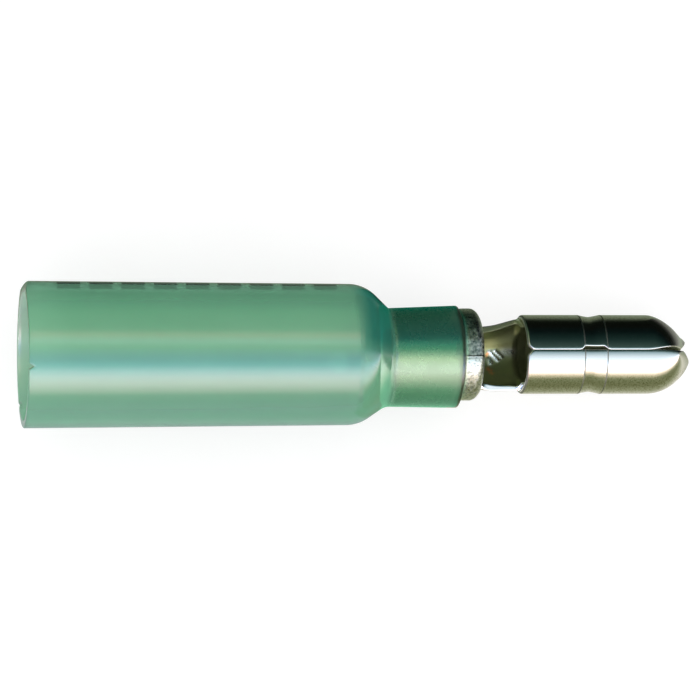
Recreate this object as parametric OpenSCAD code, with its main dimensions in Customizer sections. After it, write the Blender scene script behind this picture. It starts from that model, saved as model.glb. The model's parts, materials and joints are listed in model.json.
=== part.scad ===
/* [Sheet metal] */
// Thickness of the sheet that the terminal is rolled from
sheet_t = 0.5; // [0.35:0.05:0.6]

/* [Bullet] */
// Outside diameter over the two lands
bullet_d = 4.0; // [3.6:0.1:5]
// Length of the land behind the ring groove
rear_land_l = 2.72; // [2:0.02:4]
// Length of the ring groove's level floor
groove_floor_l = 0.56; // [0.3:0.02:1]
// Length of each sloping side of the ring groove
groove_side_l = 0.45; // [0.3:0.05:0.8]
// Depth of the ring groove
groove_depth = 0.17; // [0.05:0.01:0.3]
// Length of the land in front of the ring groove
front_land_l = 2.34; // [1.5:0.02:4]
// Radius of the nose's curved outline
nose_r = 2.38; // [2:0.02:3]
// Diameter of the small hole left at the tip of the nose
tip_hole_d = 0.3; // [0.2:0.05:0.6]
// Corner radius of the bullet's rear rim
rim_r = 0.12; // [0.05:0.01:0.2]
// Width of the lengthwise seam between the sheet's edges
seam_gap = 0.1; // [0.05:0.01:0.3]
// Width of the seam where the ring groove pushes its edges in
groove_gap = 0.24; // [0.1:0.02:0.5]
// Length of the notch where the seam runs out at the nose
notch_l = 0.8; // [0.4:0.05:1.5]
// Width of that notch at the tip
notch_w = 0.7; // [0.4:0.05:1]

/* [Trough neck] */
// Length of the open neck between barrel and bullet
trough_l = 2.1; // [1.5:0.05:4]
// Outside diameter of the neck next to the barrel
trough_rear_d = 3.2; // [2.8:0.05:3.5]
// Outside diameter of the neck next to the bullet
trough_front_d = 3.7; // [3.2:0.05:3.9]
// How far the neck's wall reaches round the axis, in degrees
trough_wrap = 165; // [150:5:250]

/* [Crimp barrel] */
// Outside diameter of the barrel
barrel_d = 4.4; // [4.2:0.05:4.8]
// Length of the barrel with its bead
barrel_l = 4.4; // [3.5:0.05:6]
// Length of the bead at the barrel's front end
bead_l = 1.2; // [0.8:0.05:1.5]
// Height of the bead above the barrel
bead_h = 0.12; // [0.05:0.01:0.2]
// Corner radius at the bead's front
bead_round = 0.5; // [0.2:0.05:0.6]
// How far the barrel's open front edge stops short of the neck's shoulder
edge_setback = 0.15; // [0.05:0.05:0.25]
// Height of the bevel inside that open edge
edge_bevel = 0.2; // [0.1:0.05:0.25]
// Width of the flat where the barrel's seam is brazed shut
seam_flat_w = 0.9; // [0.4:0.05:1.2]
// Width of the fine joint line beside that flat
joint_line_w = 0.06; // [0.03:0.01:0.1]
// Depth of the fine joint line
joint_line_depth = 0.12; // [0.05:0.01:0.2]

/* [Sleeve] */
// Bore of the sleeve's wide part
sleeve_bore_d = 6.5; // [6:0.05:8]
// Wall at the sleeve's mouth
mouth_wall = 0.39; // [0.3:0.01:0.6]
// Wall where the wide part meets the shoulder
waist_wall = 0.29; // [0.2:0.01:0.5]
// Length of the wide part
wide_l = 16.08; // [10:0.02:25]
// Radius of the shoulder's curve
shoulder_r = 2.1; // [1:0.05:2.4]
// Slope of the shoulder against the axis, in degrees
shoulder_slope = 35; // [25:1:50]
// Radius of the curve at the shoulder's foot
foot_r = 0.4; // [0.1:0.05:0.8]
// Length of the neck that is shrunk onto the barrel
grip_l = 3.55; // [2.5:0.05:4]
// Film thickness at the neck's rear end
film_rear_t = 0.29; // [0.2:0.01:0.4]
// Film thickness at the neck's front end
film_front_t = 0.36; // [0.2:0.01:0.45]
// Clearance between the shrunk film and the barrel
film_clearance = 0.02; // [0.01:0.01:0.05]
// Depth of the flat spot that the soft sleeve lies on
lying_flat = 0.02; // [0.01:0.01:0.05]

/* [Hidden] */
$fn = 96;

// Steps in each curved stretch of an outline
arc_steps = 12;
// Reach of a cutting shape past the surface that it cuts
past = 1;

// Radii
bullet_r = bullet_d / 2;
groove_r = bullet_r - groove_depth;
tip_hole_r = tip_hole_d / 2;
trough_rear_r = trough_rear_d / 2;
trough_front_r = trough_front_d / 2;
barrel_r = barrel_d / 2;
barrel_bore_r = barrel_r - sheet_t;
bead_r = barrel_r + bead_h;
sleeve_bore_r = sleeve_bore_d / 2;
mouth_r = sleeve_bore_r + mouth_wall;
waist_r = sleeve_bore_r + waist_wall;
grip_bore_r = barrel_r + film_clearance;
grip_rear_r = grip_bore_r + film_rear_t;
grip_front_r = grip_bore_r + film_front_t;

// Places along the axis, counted from the sleeve's mouth. First the shoulder's outer and inner skin:
// each is an arc about one centre, then a straight slope down to the neck
shoulder_centre = [wide_l, waist_r - shoulder_r];
shoulder_bore_r = shoulder_r - waist_wall;
outer_slope = shoulder_centre + shoulder_r * [sin(shoulder_slope), cos(shoulder_slope)];
inner_slope = shoulder_centre + shoulder_bore_r * [sin(shoulder_slope), cos(shoulder_slope)];
foot_at = outer_slope[0] + (outer_slope[1] - grip_rear_r) / tan(shoulder_slope);
inner_foot_at = inner_slope[0] + (inner_slope[1] - grip_bore_r) / tan(shoulder_slope);
foot_tangent = foot_r * tan(shoulder_slope / 2);
foot_centre = [foot_at + foot_tangent, grip_rear_r + foot_r];
sleeve_end = foot_at + grip_l;

// The terminal sits with its bead against the sleeve's front end
bead_start = sleeve_end + film_clearance;
bead_end = bead_start + bead_l;
barrel_start = bead_end - barrel_l;
rim_at = bead_end + trough_l;
groove_start = rim_at + rear_land_l;
groove_floor_start = groove_start + groove_side_l;
groove_floor_end = groove_floor_start + groove_floor_l;
groove_end = groove_floor_end + groove_side_l;
nose_start = groove_end + front_land_l;

// The nose is an arc about a point beyond the axis, and its sheet ends in a rounded lip at the tip hole
nose_centre = [nose_start, bullet_r - nose_r];
lip_r = sheet_t / 2;
lip_reach = nose_r - lip_r;
lip_angle = asin((tip_hole_r + lip_r - nose_centre[1]) / lip_reach);
lip_centre = nose_centre + lip_reach * [cos(lip_angle), sin(lip_angle)];
tip_at = lip_centre[0] + lip_r;

// At rest the connector lies on the sleeve's shoulder and on the bullet's nose, so the surface touches
// the nose's arc and passes a flat spot's depth inside the shoulder's arc
lying_r = shoulder_r - lying_flat;
rest_span = nose_centre - shoulder_centre;
rest_tilt = asin((lying_r - nose_r) / norm(rest_span)) - atan2(rest_span[1], rest_span[0]);
rest_height = shoulder_centre * [sin(rest_tilt), cos(rest_tilt)] + lying_r;
rest_back = -mouth_r * sin(rest_tilt);
rest_front = lip_centre * [cos(rest_tilt), sin(rest_tilt)] + lip_r;
rest_middle = (rest_back + rest_front) / 2;

// Points of an arc in an outline of [along, radius] points
function arc(centre, r, from, to) =
    [for (i = [0 : arc_steps]) let (a = from + (to - from) * i / arc_steps) centre + r * [cos(a), sin(a)]];

// Barrel and bead from the rear end up to the front corner, which stops at the given place along the axis
function barrel_skin(front) =
    let (corner = [bead_end - bead_round, bead_r - bead_round])
    concat(
        [[barrel_start, barrel_r], [bead_start, barrel_r], [bead_start + bead_h, bead_r]],
        arc(corner, bead_round, 90, acos(min(1, (front - corner[0]) / bead_round)))
    );

// Bullet from its rear rim to the tip, outside
function bullet_skin() =
    concat(
        arc([rim_at + rim_r, bullet_r - rim_r], rim_r, 180, 90),
        [[groove_start, bullet_r], [groove_floor_start, groove_r]],
        [[groove_floor_end, groove_r], [groove_end, bullet_r]],
        arc(nose_centre, nose_r, 90, lip_angle)
    );

// Bullet from the tip back to its rear rim, inside, one sheet thickness under the skin
function bullet_lining() =
    concat(
        arc(lip_centre, lip_r, lip_angle, lip_angle - 180),
        arc(nose_centre, nose_r - sheet_t, lip_angle, 90),
        [[groove_end, bullet_r - sheet_t], [groove_floor_end, groove_r - sheet_t]],
        [[groove_floor_start, groove_r - sheet_t], [groove_start, bullet_r - sheet_t]]
    );

// The whole strip of sheet: barrel, shoulder, trough and bullet in one section
function strip_outline() =
    concat(
        barrel_skin(bead_end),
        [[bead_end, trough_rear_r], [rim_at, trough_front_r]],
        bullet_skin(),
        bullet_lining(),
        [[rim_at + sheet_t, bullet_r - sheet_t], [rim_at, trough_front_r - sheet_t]],
        [[bead_end - sheet_t, trough_rear_r - sheet_t], [bead_end - sheet_t, barrel_bore_r]],
        [[barrel_start, barrel_bore_r]]
    );

function barrel_outline() =
    let (front = bead_end - edge_setback)
    concat(
        barrel_skin(front),
        [[front, barrel_bore_r + edge_bevel], [bead_end - sheet_t, barrel_bore_r]],
        [[barrel_start, barrel_bore_r]]
    );

function bullet_outline() = concat(bullet_skin(), bullet_lining(), [[rim_at, bullet_r - sheet_t]]);

function sleeve_outline() =
    concat(
        [[0, mouth_r]],
        arc(shoulder_centre, shoulder_r, 90, 90 - shoulder_slope),
        arc(foot_centre, foot_r, 270 - shoulder_slope, 270),
        [[sleeve_end, grip_front_r], [sleeve_end, grip_bore_r], [inner_foot_at, grip_bore_r]],
        arc(shoulder_centre, shoulder_bore_r, 90 - shoulder_slope, 90),
        [[0, sleeve_bore_r]]
    );

// Turns an outline round the connector's axis, over a span of degrees that is centred below or above it
module turned(outline, span = 360, above = false) {
    rotate([0, 90, 0])
        rotate_extrude(angle = span, start = (above ? 180 : 0) - span / 2)
            polygon([for (p = outline) [p[1], p[0]]]);
}

// Lays a piece down as it comes to rest, with its seam up and the nose toward +X
module at_rest() {
    translate([-rest_middle, 0, rest_height])
        rotate([0, rest_tilt, 0])
            children();
}

// A slot from the axis upward, of one width, between two places along the axis
module slot_above(from, to, width) {
    translate([from, -width / 2, 0])
        cube([to - from, width, bead_r + past]);
}

// The notch at the tip, drawn from above
module nose_notch() {
    linear_extrude(bullet_r + past)
        polygon([
            [tip_at - notch_l, 0],
            [tip_at + past, -notch_w / 2 * (1 + past / notch_l)],
            [tip_at + past, notch_w / 2 * (1 + past / notch_l)]
        ]);
}

// The flat along the bead's seam, with the joint line at its edge
module bead_seam() {
    flat_z = sqrt(bead_r ^ 2 - (seam_flat_w / 2) ^ 2);
    translate([bead_start - past / 2, -seam_flat_w, flat_z])
        cube([bead_l + past, 2 * seam_flat_w, past]);
    translate([bead_start + bead_h / 2, -(seam_flat_w + joint_line_w) / 2, flat_z - joint_line_depth])
        cube([bead_l, joint_line_w, past]);
}

module terminal() {
    color("silver")
        at_rest()
            difference() {
                union() {
                    turned(strip_outline(), trough_wrap);
                    turned(barrel_outline(), 360 - trough_wrap, above = true);
                    turned(bullet_outline(), 360 - trough_wrap, above = true);
                }
                slot_above(rim_at - past / 2, tip_at + past, seam_gap);
                slot_above(groove_floor_start, groove_floor_end, groove_gap);
                nose_notch();
                bead_seam();
            }
}

module sleeve() {
    color("mediumseagreen", 0.8)
        difference() {
            at_rest()
                turned(sleeve_outline());
            translate([-tip_at, -mouth_r, -past])
                cube([2 * tip_at, 2 * mouth_r, past]);
        }
}

terminal();
sleeve();
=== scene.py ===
# %% [markdown]
# # A heat-shrink bullet connector
# The real connector is two pieces. A plug is rolled from one strip of plated sheet, and a soft green
# sleeve is shrunk onto the plug's barrel, so that a wire can be crimped and then sealed.
# The packed model gives the place and size of both. This lesson makes the looks round it.

# %% Load the packed model
import json
from math import asin, atan, cos, degrees, pi, radians, sin, tan

import bmesh
import bpy
import numpy as np
from mathutils import Matrix, Vector


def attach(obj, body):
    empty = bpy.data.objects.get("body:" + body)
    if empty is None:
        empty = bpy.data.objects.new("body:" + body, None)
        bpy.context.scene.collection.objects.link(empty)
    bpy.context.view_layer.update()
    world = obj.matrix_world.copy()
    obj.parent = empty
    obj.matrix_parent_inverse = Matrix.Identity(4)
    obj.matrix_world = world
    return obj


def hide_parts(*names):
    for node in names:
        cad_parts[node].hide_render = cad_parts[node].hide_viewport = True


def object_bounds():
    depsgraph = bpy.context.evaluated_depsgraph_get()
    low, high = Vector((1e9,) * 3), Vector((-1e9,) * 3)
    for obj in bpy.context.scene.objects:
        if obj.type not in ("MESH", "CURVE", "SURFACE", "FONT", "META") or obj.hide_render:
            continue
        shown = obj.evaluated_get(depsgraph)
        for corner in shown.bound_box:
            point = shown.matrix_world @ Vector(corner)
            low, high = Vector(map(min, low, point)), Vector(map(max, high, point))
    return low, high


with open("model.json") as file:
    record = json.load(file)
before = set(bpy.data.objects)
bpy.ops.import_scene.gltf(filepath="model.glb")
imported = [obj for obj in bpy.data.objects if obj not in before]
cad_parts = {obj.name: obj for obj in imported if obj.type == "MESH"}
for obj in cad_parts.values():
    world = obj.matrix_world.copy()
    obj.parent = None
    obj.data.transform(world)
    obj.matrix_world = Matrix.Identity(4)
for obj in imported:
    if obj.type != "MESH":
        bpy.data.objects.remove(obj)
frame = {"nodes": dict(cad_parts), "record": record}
cad_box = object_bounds()
print("nodes", sorted(frame["nodes"]), "box", cad_box)

# %% [markdown]
# ## The connector's own axis
# The connector lies nose down, so its axis is tilted against the floor. Working in floor axes would
# make every formula hard to read. The mounts in the record hold the axis, so a point can be given as a
# maker would give it: how far along from the sleeve's mouth, how far out, and turned how far from the seam.

# %% Measure along the axis
MM = 0.001
mounts = {mount["name"]: mount for mount in frame["record"]["mounts"]}
AXIS = np.array(mounts["bullet"]["axis"])
SIDE = np.array([0.0, 1.0, 0.0])
UP = np.cross(AXIS, SIDE)
WIDE_L = mounts["sleeve_mouth"]["dims"]["length_mm"]
MOUTH = np.array(mounts["sleeve_mouth"]["pos_m"]) - AXIS * WIDE_L / 2 * MM


def place(along, radius, turn):
    """Points in the row frame, in metres, from millimetres along and out, and radians from the seam to +Y."""
    along, radius, turn = np.broadcast_arrays(along, radius, turn)
    rise = radius * np.cos(turn)
    reach = radius * np.sin(turn)
    return MOUTH + MM * (along[..., None] * AXIS + rise[..., None] * UP + reach[..., None] * SIDE)


def station(name):
    """Where the two ends of a mount lie along the axis, in millimetres from the mouth."""
    middle = float(np.dot(np.array(mounts[name]["pos_m"]) - MOUTH, AXIS)) / MM
    half = mounts[name]["dims"]["length_mm"] / 2
    return middle - half, middle + half


print("wire barrel at", station("wire_barrel"), "bullet at", station("bullet"))

# %% [markdown]
# ## The camera
# The photograph looks down on the connector, a little from the mouth's end and a little from the side
# below the seam. A long lens from 18 cm keeps the slight widening towards the mouth.
# The camera is built from those two angles, so it stays right if the connector's rest changes.

# %% Set up the camera
VIEW_LEAN = radians(7.4)
VIEW_BACK = radians(9.93)
VIEW_DISTANCE = 0.183
VIEW_WIDTH = 35.07 * MM
AIM_ALONG = 16.38
AIM_RISE = 0.225 * MM

sideways = cos(VIEW_LEAN) * UP - sin(VIEW_LEAN) * SIDE
to_camera = Vector(cos(VIEW_BACK) * sideways - sin(VIEW_BACK) * AXIS)
picture_right = Vector(AXIS) - Vector(AXIS).dot(to_camera) * to_camera
picture_right.normalize()
picture_up = to_camera.cross(picture_right)
aim = Vector(place(np.array(AIM_ALONG), 0.0, 0.0)) + picture_up * AIM_RISE


def add(name, data):
    """A new object in the scene."""
    thing = bpy.data.objects.new(name, data)
    bpy.context.scene.collection.objects.link(thing)
    return thing


def aimed(right, facing, distance):
    """Where a camera or lamp stands that looks at the aim from a direction and a distance."""
    turned = Matrix((right, facing.cross(right), facing)).transposed().to_4x4()
    return Matrix.Translation(aim + facing * distance) @ turned


lens = bpy.data.cameras.new("camera")
lens.angle = 2 * atan(VIEW_WIDTH / 2 / VIEW_DISTANCE)
lens.clip_start = MM
camera = add("camera", lens)
camera.matrix_world = aimed(picture_right, to_camera, VIEW_DISTANCE)
bpy.context.scene.camera = camera
print("camera at", [round(v, 4) for v in camera.matrix_world.translation])

# %% [markdown]
# ## The sleeve's shape
# The sleeve is a plain extruded tube, shrunk at one end. It could be a revolved curve, but heat never
# shrinks a tube evenly: on one side the film lies thin, with a sharp crease where the shoulder ends, and
# on the other it is thicker and runs out in a soft curve. So each line along the tube gets its own outline,
# blended round the axis between those two.

# %% Outline of the shrunk tube
BORE_R = mounts["sleeve_mouth"]["dims"]["r_mm"]
MOUTH_R = 3.64
WAIST_R = 3.54
SLEEVE_END = 21.763
FLARE_FROM = WIDE_L + 2
GRIP_R = 2.14
GRIP_FOOT = 0.3
CREASED = {"start": 16.25, "bend": 1.9, "slope": radians(44), "foot": 0.1, "neck": 2.32, "flare": 0.14}
SOFT = {"start": 16.15, "bend": 1.94, "slope": radians(34), "foot": 0.9, "neck": 2.62, "flare": 0.07}


def blended(turn):
    """The outline's measures on a line along the tube, between the creased side and the soft side."""
    share = (1 + np.sin(turn + VIEW_LEAN)) / 2
    return {key: SOFT[key] + (CREASED[key] - SOFT[key]) * share for key in CREASED}


def shrunk_radius(along, start, wide_r, bend, slope, foot, neck):
    """Radius of a tube that bends in from wide_r, slopes down and runs out into a neck."""
    bend_end = start + bend * np.sin(slope)
    bend_end_r = wide_r - bend * (1 - np.cos(slope))
    foot_at = bend_end + (bend_end_r - neck) / np.tan(slope)
    tangent = foot * np.tan(slope / 2)
    into_bend = np.clip(along - start, 0, bend * np.sin(slope))
    bent = wide_r - bend + np.sqrt(bend ** 2 - into_bend ** 2)
    sloped = bend_end_r - (along - bend_end) * np.tan(slope)
    before_neck = np.clip(foot_at + tangent - along, 0, foot * np.sin(slope))
    runout = neck + foot - np.sqrt(foot ** 2 - before_neck ** 2)
    on_slope = along < foot_at - tangent * np.cos(slope)
    return np.where(along < bend_end, bent, np.where(on_slope, sloped, runout))


def outer_radius(along, turn):
    """Radius of the outside, with the tube's slight taper and the flare of its front end."""
    m = blended(turn)
    taper = (MOUTH_R - WAIST_R) * (1 - np.clip(along / m["start"], 0, 1))
    flare = m["flare"] * np.clip((along - FLARE_FROM) / (SLEEVE_END - FLARE_FROM), 0, 1)
    body = shrunk_radius(along, m["start"], WAIST_R, m["bend"], m["slope"], m["foot"], m["neck"])
    return body + taper + flare


def inner_radius(along, turn):
    """Radius of the bore, which follows the outside as far as the barrel."""
    m = blended(turn)
    wall = WAIST_R - BORE_R
    return shrunk_radius(along, m["start"], BORE_R, m["bend"] - wall, m["slope"], GRIP_FOOT, GRIP_R)


for side, turn in (("creased", pi / 2), ("soft", -pi / 2)):
    print(side, "side", outer_radius(np.array([16.0, 17.5, 18.3, 21.0]), turn).round(2))

# %% [markdown]
# ## Building the sleeve's mesh
# The wall's section is a closed loop: out along the outside, round the thin front edge, back along the bore
# and round the mouth's edge. A tube with a thickness modifier would be quicker, but with square edges.
# Carrying the loop round the axis gives one closed skin, with rows set close where the shoulder bends.

# %% Loop of the wall's section
EDGE_R = 0.08
FRONT_EDGE_R = 0.03
QUARTER = np.linspace(0, pi / 2, 5)
TUBE_ROWS = [(0.3, 15.9, 40), (16.05, 18.75, 56), (18.9, 21.5, 22)]
BORE_ROWS = [(21.3, 18.9, 8), (18.7, 16.0, 40), (15.6, 0.3, 30)]


def straight(skin, stretches):
    """Rows on a skin, by stretches of (first place along, last place along, count)."""
    return [(skin, along, 0.0) for stretch in stretches for along in np.linspace(*stretch)]


def rounded(skin, centre, radius, angles):
    """Rows of a rounded edge, which faces the mouth where the radius is below zero."""
    return [(skin, centre + radius * sin(q), abs(radius) * (1 - cos(q))) for q in angles]


def wall_loop():
    """Rows of (which skin, along, inset from that skin) round the wall's section."""
    front = SLEEVE_END - FRONT_EDGE_R
    outside = rounded("out", EDGE_R, -EDGE_R, QUARTER[::-1]) + straight("out", TUBE_ROWS)
    outside += rounded("out", front, FRONT_EDGE_R, QUARTER)
    lining = rounded("in", front, FRONT_EDGE_R, QUARTER[::-1]) + straight("in", BORE_ROWS)
    return outside + lining + rounded("in", EDGE_R, -EDGE_R, QUARTER)


loop = wall_loop()
print("sleeve loop rows", len(loop))

# %% [markdown]
# ## The worn mouth
# The mouth was cut with a blade and knocked about since: it has two small nicks and a worn corner. They could
# be cut out with a second shape, but pushing the mouth's points along keeps its edge round. Extra lines stand
# where the narrow first nick is, so that it stays sharp.

# %% Points of the sleeve
NICKS = [(-0.29, 0.045, 0.24), (-2.45, 0.06, 0.16), (1.45, 0.45, 0.25)]
NICK_FADE = 0.3
NICK_REACH = 0.06
SLEEVE_LINES = 224


def nicked(along, turn):
    """Along, pushed in from the mouth by each nick's turn, half width and depth."""
    for where, half_width, depth in NICKS:
        notch = np.clip(1 - np.abs(turn - where) / half_width, 0, 1)
        along = along + depth * notch * np.exp(-along / NICK_FADE)
    return along


first_nick = NICKS[0][0]
turns = np.linspace(-pi, pi, SLEEVE_LINES, endpoint=False)
turns = np.unique(np.concatenate([turns, np.linspace(first_nick - NICK_REACH, first_nick + NICK_REACH, 17)]))
sleeve_points = np.empty((len(loop), len(turns), 3))
for row, (skin, along, inset) in enumerate(loop):
    stations = nicked(np.full_like(turns, along), turns)
    if skin == "out":
        radii = outer_radius(stations, turns) - inset
    else:
        radii = inner_radius(stations, turns) + inset
    sleeve_points[row] = place(stations, radii, turns)
sleeve_points[..., 2] = np.maximum(sleeve_points[..., 2], cad_box[0][2])
print("sleeve lines", len(turns))


# %% Make meshes from points and faces
def make_piece(name, points, faces):
    """A smooth-shaded mesh object of four-sided faces, all turned outward, and the numbers of its points."""
    used, renumbered = np.unique(np.array(faces), return_inverse=True)
    mesh = bpy.data.meshes.new(name)
    mesh.from_pydata(points[used].tolist(), [], renumbered.reshape(-1, 4).tolist())
    sheet = bmesh.new()
    sheet.from_mesh(mesh)
    bmesh.ops.recalc_face_normals(sheet, faces=sheet.faces)
    sheet.to_mesh(mesh)
    open_edges = sum(1 for edge in sheet.edges if not edge.is_manifold)
    sheet.free()
    mesh.polygons.foreach_set("use_smooth", [True] * len(mesh.polygons))
    piece = add(name, mesh)
    print(name, "points", len(used), "faces", len(faces), "open edges", open_edges)
    return piece, used


rows, lines = sleeve_points.shape[:2]
number = np.arange(rows * lines).reshape(rows, lines)
beside = np.roll(number, -1, 1)
sleeve_faces = np.stack([number, beside, np.roll(beside, -1, 0), np.roll(number, -1, 0)], -1).reshape(-1, 4)
sleeve, _ = make_piece("shrink_sleeve", sleeve_points.reshape(-1, 3), sleeve_faces)
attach(sleeve, "root")
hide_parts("sleeve")

# %% [markdown]
# ## Where the film differs
# Heat leaves the film clear where it hugs the barrel. On the creased side, away from the lamp, the shoulder
# is darkened as painted shade, and inside the mouth the bore on that side, which faces the lamp, is lightened
# as a painted highlight. A printed row runs along one side, here as plain dashes. An image texture could hold
# all that, but one number per zone on each point of the mesh follows the shape better.

# %% Mark the sleeve's zones
HUG_FROM, HUG_FADE = WIDE_L + 1.95, 0.4
# Painted shade on the shoulder, on the creased side away from the lamp, between these places along.
SHOULDER_SHADE_FROM, SHOULDER_SHADE_RISE = 16.1, 0.9
SHOULDER_SHADE_TO, SHOULDER_SHADE_FALL = 18.4, 0.4
CREASE_EASE = 0.25
# Painted highlight on the mouth's bore, on the +Y side that faces the lamp, fading over this length.
MOUTH_HIGHLIGHT_L = 2.6
PRINT_AT = 1.25
PRINT_HALF = 0.1


def mark(piece, name, values):
    """One number on each point of a piece, for its material to read."""
    layer = piece.data.attributes.new(name, "FLOAT", "POINT")
    layer.data.foreach_set("value", np.asarray(values, np.float32).ravel())


row_along = np.array([along for _, along, _ in loop])
row_outside = np.array([skin == "out" for skin, _, _ in loop])
# Painted shade: the shoulder darkens towards its creased side, away from the lamp.
thick_rise = np.clip((row_along - SHOULDER_SHADE_FROM) / SHOULDER_SHADE_RISE, 0, 1)
thick_fall = np.clip((SHOULDER_SHADE_TO - row_along) / SHOULDER_SHADE_FALL, 0, 1)
creased_side = np.clip((np.sin(turns + VIEW_LEAN) + CREASE_EASE) / (2 * CREASE_EASE), 0, 1)
upper_half = (1 + np.sin(turns)) / 2
sleeve_zones = {
    "shrunk": np.outer(np.clip((row_along - HUG_FROM) / HUG_FADE, 0, 1), np.ones(lines)),
    "print_row": np.outer(np.ones(rows), np.clip(1 - np.abs(turns - PRINT_AT) / (2 * PRINT_HALF), 0, 1)),
    "along": np.outer(row_along * row_outside, np.ones(lines)),
    "thick": np.outer(thick_rise * thick_fall, creased_side),
    # Painted highlight inside the mouth, on the +Y half of the bore.
    "pale": np.outer(~row_outside * np.clip(1 - row_along / MOUTH_HIGHLIGHT_L, 0, 1), upper_half),
}
for zone, values in sleeve_zones.items():
    mark(sleeve, zone, values)
print("sleeve zones", {zone: int((values > 0).sum()) for zone, values in sleeve_zones.items()})

# %% [markdown]
# ## The strip that the plug is rolled from
# One strip of sheet makes the barrel, its bead, the open neck and the bullet. The simplest way to model it
# is to revolve its section and cut the openings, but cut edges would then be knife-sharp and the seam
# perfectly straight. Instead the outer and inner skins are two lists of points, row against row, so the
# sheet can be wrapped round the axis as a press does it.

# %% Sizes along the strip
SHEET_T = 0.5
BARREL_R = 2.2
BEAD_R = 2.32
BULLET_R = mounts["bullet"]["dims"]["r_mm"]
BARREL_START, barrel_bore_end = station("wire_barrel")
BEAD_END = barrel_bore_end + SHEET_T
BARREL_BACK = 0.3
BEAD_START = SLEEVE_END - 0.03
RIM_ROUND = 0.12
land_start, NOSE_START = station("bullet")
RIM_AT = land_start - RIM_ROUND
GROOVE_AT = RIM_AT + 2.94
GROOVE_SIDE = 0.45
GROOVE_FLOOR = 0.26
GROOVE_DEPTH = 0.1
BURR_H = 0.006
BURR_L = 0.04
GROOVE_END = GROOVE_AT + 2 * GROOVE_SIDE + GROOVE_FLOOR
NOSE_R = 2.38
NOSE_HOLE_R = 0.15
NECK_REAR_R = 1.6
NECK_FRONT_R = 1.85
print("bead ends at", round(BEAD_END, 3), "rim at", round(RIM_AT, 3), "nose from", round(NOSE_START, 3))


def line(start, end, count):
    """Points of a straight stretch, without its end."""
    shares = np.linspace(0, 1, count, endpoint=False)[:, None]
    return np.array(start) + shares * (np.array(end) - np.array(start))


def bend(start, corner, end, count):
    """Points of a rounded corner, without its end."""
    t = np.linspace(0, 1, count, endpoint=False)[:, None]
    start, corner, end = np.array(start), np.array(corner), np.array(end)
    return (1 - t) ** 2 * start + 2 * t * (1 - t) * corner + t ** 2 * end


def round_from(centre, across, high, first, last, count):
    """Points of an elliptic arc between two angles in degrees, without its end."""
    angle = np.radians(np.linspace(first, last, count, endpoint=False))
    return np.stack([centre[0] + across * np.cos(angle), centre[1] + high * np.sin(angle)], 1)


# %% Rows of the outer skin
FRONT_ROUND_L = 0.55
FRONT_ROUND_H = 0.87
FRONT_STOP = 18
front_centre = (BEAD_END - FRONT_ROUND_L, BEAD_R - FRONT_ROUND_H)
front_foot = round_from(front_centre, FRONT_ROUND_L, FRONT_ROUND_H, FRONT_STOP, 0, 1)[0]
bead_top = (BEAD_START + 0.4, BEAD_R)
neck_in = (BEAD_END + 0.22, NECK_REAR_R + 0.03)
neck_out = (RIM_AT - 0.12, NECK_FRONT_R - 0.01)
rim_edge = (RIM_AT, BULLET_R - 0.09)
land_edge = (RIM_AT + 0.16, BULLET_R)
groove_in = (GROOVE_AT + BURR_L, BULLET_R - BURR_H)
groove_out = (GROOVE_END - BURR_L, BULLET_R - BURR_H)
floor_r = BULLET_R - GROOVE_DEPTH
floor_at = GROOVE_AT + GROOVE_SIDE
floor_end = floor_at + GROOVE_FLOOR
floor_mid = ((floor_at + floor_end) / 2, floor_r)
nose_centre = (NOSE_START, BULLET_R - NOSE_R)
lip_r = SHEET_T / 2
lip_angle = degrees(asin((NOSE_HOLE_R + lip_r - nose_centre[1]) / (NOSE_R - lip_r)))
lip_centre = np.array(nose_centre) + (NOSE_R - lip_r) * np.array(
    [cos(radians(lip_angle)), sin(radians(lip_angle))])

outer_parts = {
    "barrel": line((BARREL_START - BARREL_BACK, BARREL_R), (BEAD_START, BARREL_R), 14),
    "bead": np.concatenate([
        bend((BEAD_START, BARREL_R), (BEAD_START + 0.05, BEAD_R), bead_top, 6),
        line(bead_top, (front_centre[0], BEAD_R), 5)]),
    "front": round_from(front_centre, FRONT_ROUND_L, FRONT_ROUND_H, 90, FRONT_STOP, 18),
    "foot": bend(front_foot, (BEAD_END + 0.01, NECK_REAR_R), neck_in, 8),
    "neck": line(neck_in, neck_out, 26),
    "rim": bend(neck_out, (RIM_AT - 0.01, NECK_FRONT_R + 0.02), rim_edge, 6),
    "rim_round": bend(rim_edge, (RIM_AT + 0.02, BULLET_R), land_edge, 6),
    "rear_land": line(land_edge, (GROOVE_AT - BURR_L, BULLET_R), 24),
    "crest_rear": bend((GROOVE_AT - BURR_L, BULLET_R), (GROOVE_AT, BULLET_R + 2 * BURR_H), groove_in, 5),
    "side_rear": bend(groove_in, (floor_at, floor_r), floor_mid, 12),
    "side_front": bend(floor_mid, (floor_end, floor_r), groove_out, 12),
    "crest_front": bend(groove_out, (GROOVE_END, BULLET_R + 2 * BURR_H), (GROOVE_END + BURR_L, BULLET_R), 5),
    "front_land": line((GROOVE_END + BURR_L, BULLET_R), (NOSE_START, BULLET_R), 16),
    "nose": round_from(nose_centre, NOSE_R, NOSE_R, 90, lip_angle, 34),
    "lip": round_from(lip_centre, lip_r, lip_r, lip_angle, lip_angle - 75, 6),
}
counts = {part: len(points) for part, points in outer_parts.items()}
first_row = dict(zip(counts, np.concatenate([[0], np.cumsum(list(counts.values()))[:-1]])))
BEAD_ROW, FOOT_ROW, RIM_ROW = first_row["bead"], first_row["foot"], first_row["rim_round"]
outer_rows = np.concatenate(list(outer_parts.values()))
print("rows of each stretch", counts)

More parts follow.
